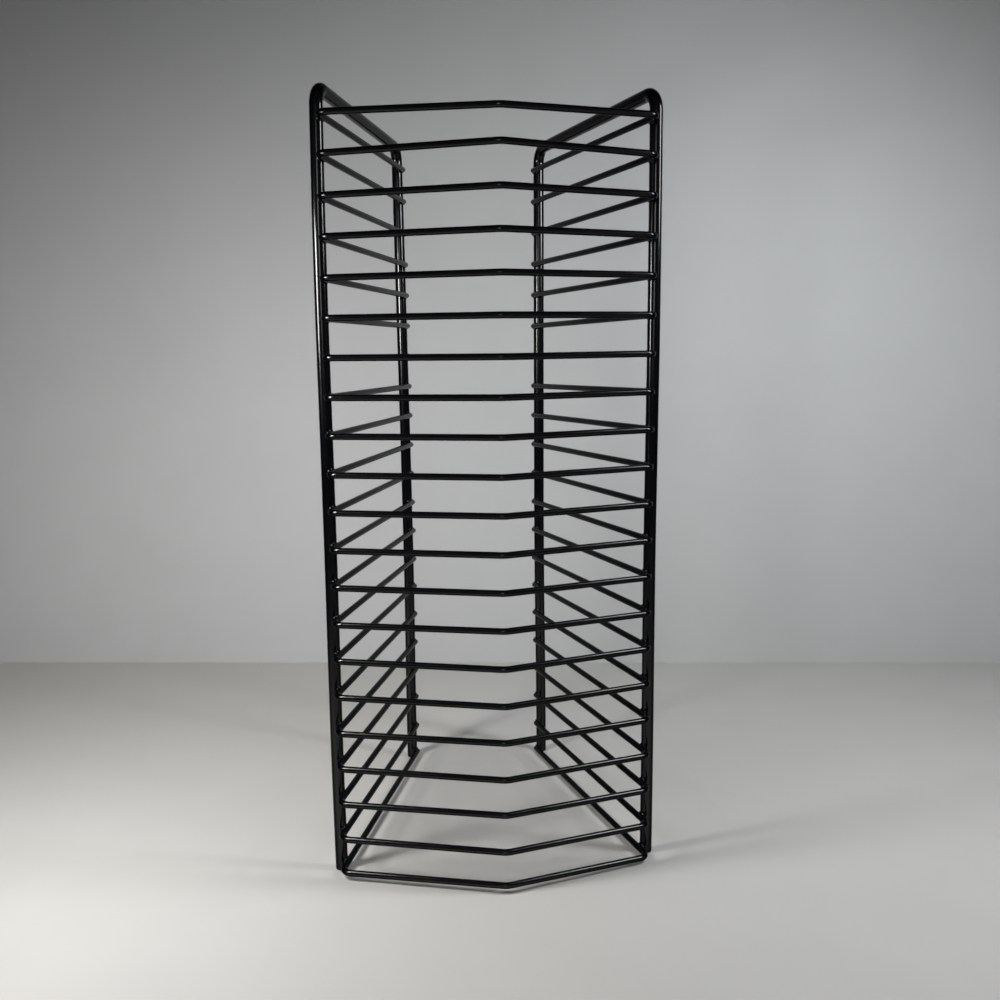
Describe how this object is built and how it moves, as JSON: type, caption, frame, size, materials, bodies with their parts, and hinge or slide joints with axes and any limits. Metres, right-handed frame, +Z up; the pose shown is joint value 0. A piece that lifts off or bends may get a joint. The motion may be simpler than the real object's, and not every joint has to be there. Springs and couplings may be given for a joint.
{
  "type": "wire disc case tower",
  "caption": "Free-standing black wire tower: two side hoops drawn together at the back carry a stack of open, nose-fronted shelf wires that hold disc cases lying flat.",
  "frame": {"origin": "on the floor, below the middle of the bounding box", "axes": "+Z is up, -Y is the front where the cases go in, and +X is to the right of a viewer at the front"},
  "size_m": [0.159, 0.1712, 0.3687],
  "materials": {
    "black_coated_steel": "semi-gloss black epoxy powder coat on round steel wire"
  },
  "bodies": {
    "root": {"side_hoop_left": "black_coated_steel", "side_hoop_right": "black_coated_steel", "shelf_wire_01": "black_coated_steel", "shelf_wire_02": "black_coated_steel", "shelf_wire_03": "black_coated_steel", "shelf_wire_04": "black_coated_steel", "shelf_wire_05": "black_coated_steel", "shelf_wire_06": "black_coated_steel", "shelf_wire_07": "black_coated_steel", "shelf_wire_08": "black_coated_steel", "shelf_wire_09": "black_coated_steel", "shelf_wire_10": "black_coated_steel", "shelf_wire_11": "black_coated_steel", "shelf_wire_12": "black_coated_steel", "shelf_wire_13": "black_coated_steel", "shelf_wire_14": "black_coated_steel", "shelf_wire_15": "black_coated_steel", "shelf_wire_16": "black_coated_steel", "shelf_wire_17": "black_coated_steel", "shelf_wire_18": "black_coated_steel", "shelf_wire_19": "black_coated_steel", "shelf_wire_20": "black_coated_steel", "shelf_wire_21": "black_coated_steel"}
  },
  "joints": []
}
